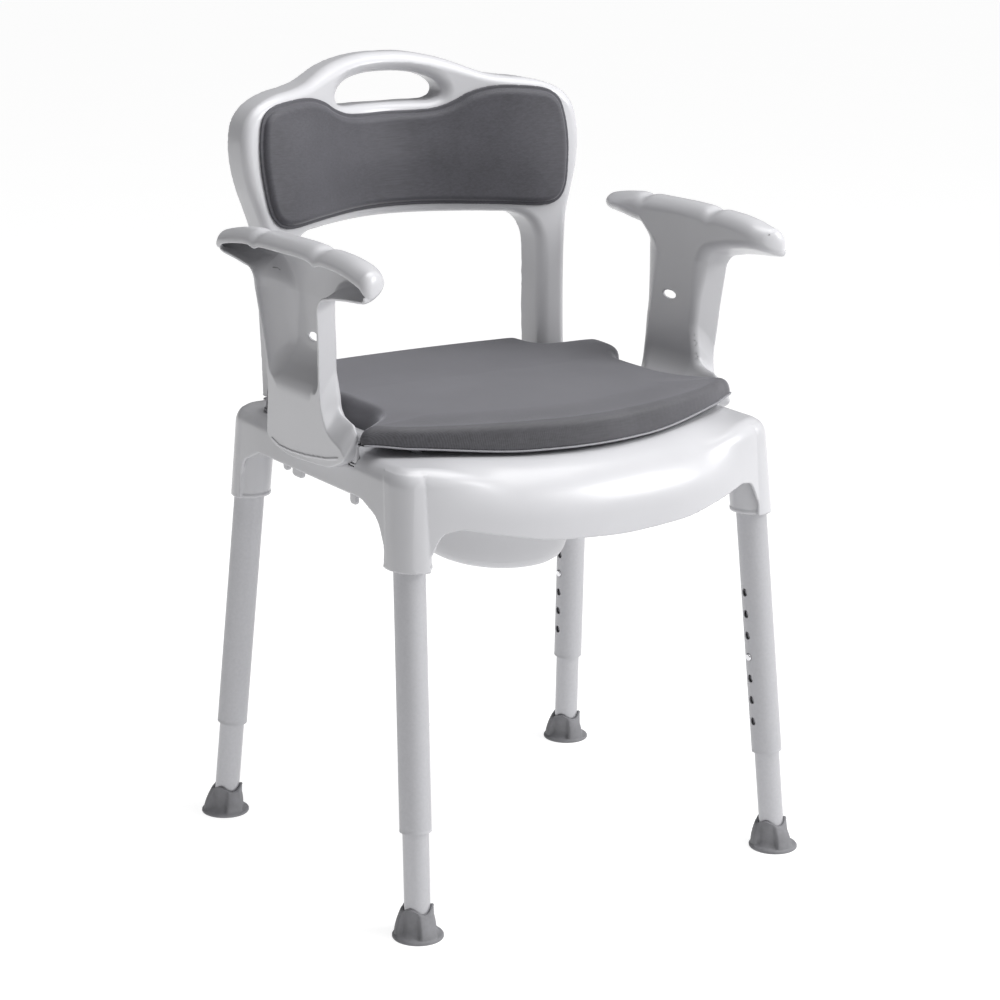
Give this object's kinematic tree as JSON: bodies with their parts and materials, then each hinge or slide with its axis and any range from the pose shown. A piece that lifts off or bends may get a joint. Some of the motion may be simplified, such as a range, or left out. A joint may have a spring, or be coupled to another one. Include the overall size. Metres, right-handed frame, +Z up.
{
  "type": "commode chair",
  "caption": "Commode chair with moulded seat, padded back, T-shaped lift-off armrests, splayed height-adjustable legs and a slide-out pan.",
  "frame": {"origin": "on the floor, at the middle of the box that holds the whole chair", "axes": "+Z up, -Y the way the sitter faces, +X the sitter's left"},
  "size_m": [0.544, 0.5215, 0.868],
  "materials": {
    "shell_plastic": "satin-gloss light grey polypropylene",
    "pan_plastic": "satin light grey polypropylene",
    "cushion_plate": "matt light grey moulded plate",
    "pad_foam": "dark grey integral-skin polyurethane foam with a fine textile grain",
    "leg_tube": "satin light grey powder coat",
    "leg_inner": "satin anodised",
    "bush_plastic": "light grey nylon",
    "foot_rubber": "matt mid grey rubber",
    "button_chrome": "polished",
    "spring_steel": "bare spring steel",
    "screw_steel": "zinc plated",
    "stud_plastic": "black nylon"
  },
  "bodies": {
    "seat": {"seat_frame": "shell_plastic", "leg_screws": "screw_steel", "pan_rail_left": "shell_plastic", "pan_rail_right": "shell_plastic", "rail_screws": "screw_steel", "leg_tube_front_left": "leg_tube", "leg_bush_front_left": "bush_plastic", "leg_tube_front_right": "leg_tube", "leg_bush_front_right": "bush_plastic", "leg_tube_rear_left": "leg_tube", "leg_bush_rear_left": "bush_plastic", "leg_tube_rear_right": "leg_tube", "leg_bush_rear_right": "bush_plastic"},
    "leg_front_left": {"leg_extension_front_left": "leg_inner", "foot_front_left": "foot_rubber", "button_spring_front_left": "spring_steel"},
    "button_front_left": {"snap_button_front_left": "button_chrome"},
    "leg_front_right": {"leg_extension_front_right": "leg_inner", "foot_front_right": "foot_rubber", "button_spring_front_right": "spring_steel"},
    "button_front_right": {"snap_button_front_right": "button_chrome"},
    "leg_rear_left": {"leg_extension_rear_left": "leg_inner", "foot_rear_left": "foot_rubber", "button_spring_rear_left": "spring_steel"},
    "button_rear_left": {"snap_button_rear_left": "button_chrome"},
    "leg_rear_right": {"leg_extension_rear_right": "leg_inner", "foot_rear_right": "foot_rubber", "button_spring_rear_right": "spring_steel"},
    "button_rear_right": {"snap_button_rear_right": "button_chrome"},
    "pan": {"commode_pan": "pan_plastic"},
    "cushion": {"seat_cushion": "pad_foam", "seat_cushion_base": "cushion_plate", "seat_cushion_pegs": "cushion_plate"},
    "armrest_left": {"armrest_left": "shell_plastic"},
    "armrest_right": {"armrest_right": "shell_plastic"},
    "backrest": {"backrest_frame": "shell_plastic", "back_pad": "pad_foam", "back_pad_studs": "stud_plastic"}
  },
  "joints": [
    {"name": "leg_slide_front_left", "type": "slide", "parent": "seat", "child": "leg_front_left", "axis": [0.0369, -0.1121, -0.993], "range_m": [-0.075, 0.075]},
    {"name": "button_press_front_left", "type": "slide", "parent": "leg_front_left", "child": "button_front_left", "axis": [0.9993, 0.0041, 0.0367], "range_m": [0, 0.0035], "stiffness_N_per_m": 800, "springref_m": -0.002, "deforming": ["button_spring_front_left"]},
    {"name": "leg_slide_front_right", "type": "slide", "parent": "seat", "child": "leg_front_right", "axis": [-0.0369, -0.1121, -0.993], "range_m": [-0.075, 0.075]},
    {"name": "button_press_front_right", "type": "slide", "parent": "leg_front_right", "child": "button_front_right", "axis": [-0.9993, 0.0041, 0.0367], "range_m": [0, 0.0035], "stiffness_N_per_m": 800, "springref_m": -0.002, "deforming": ["button_spring_front_right"]},
    {"name": "leg_slide_rear_left", "type": "slide", "parent": "seat", "child": "leg_rear_left", "axis": [0.0485, 0.0842, -0.9953], "range_m": [-0.075, 0.075]},
    {"name": "button_press_rear_left", "type": "slide", "parent": "leg_rear_left", "child": "button_rear_left", "axis": [0.9988, -0.0041, 0.0483], "range_m": [0, 0.0035], "stiffness_N_per_m": 800, "springref_m": -0.002, "deforming": ["button_spring_rear_left"]},
    {"name": "leg_slide_rear_right", "type": "slide", "parent": "seat", "child": "leg_rear_right", "axis": [-0.0485, 0.0842, -0.9953], "range_m": [-0.075, 0.075]},
    {"name": "button_press_rear_right", "type": "slide", "parent": "leg_rear_right", "child": "button_rear_right", "axis": [-0.9988, -0.0041, 0.0483], "range_m": [0, 0.0035], "stiffness_N_per_m": 800, "springref_m": -0.002, "deforming": ["button_spring_rear_right"]},
    {"name": "pan_slide", "type": "slide", "parent": "seat", "child": "pan", "axis": [0, 1, 0], "range_m": [0, 0.36]},
    {"name": "cushion_lift", "type": "slide", "parent": "seat", "child": "cushion", "axis": [0, 0, 1], "range_m": [0, 0.08]},
    {"name": "armrest_lift_left", "type": "slide", "parent": "seat", "child": "armrest_left", "axis": [0, 0, 1], "range_m": [0, 0.09]},
    {"name": "armrest_lift_right", "type": "slide", "parent": "seat", "child": "armrest_right", "axis": [0, 0, 1], "range_m": [0, 0.09]},
    {"name": "backrest_lift", "type": "slide", "parent": "seat", "child": "backrest", "axis": [0, 0.1093, 0.994], "range_m": [0, 0.06]}
  ]
}
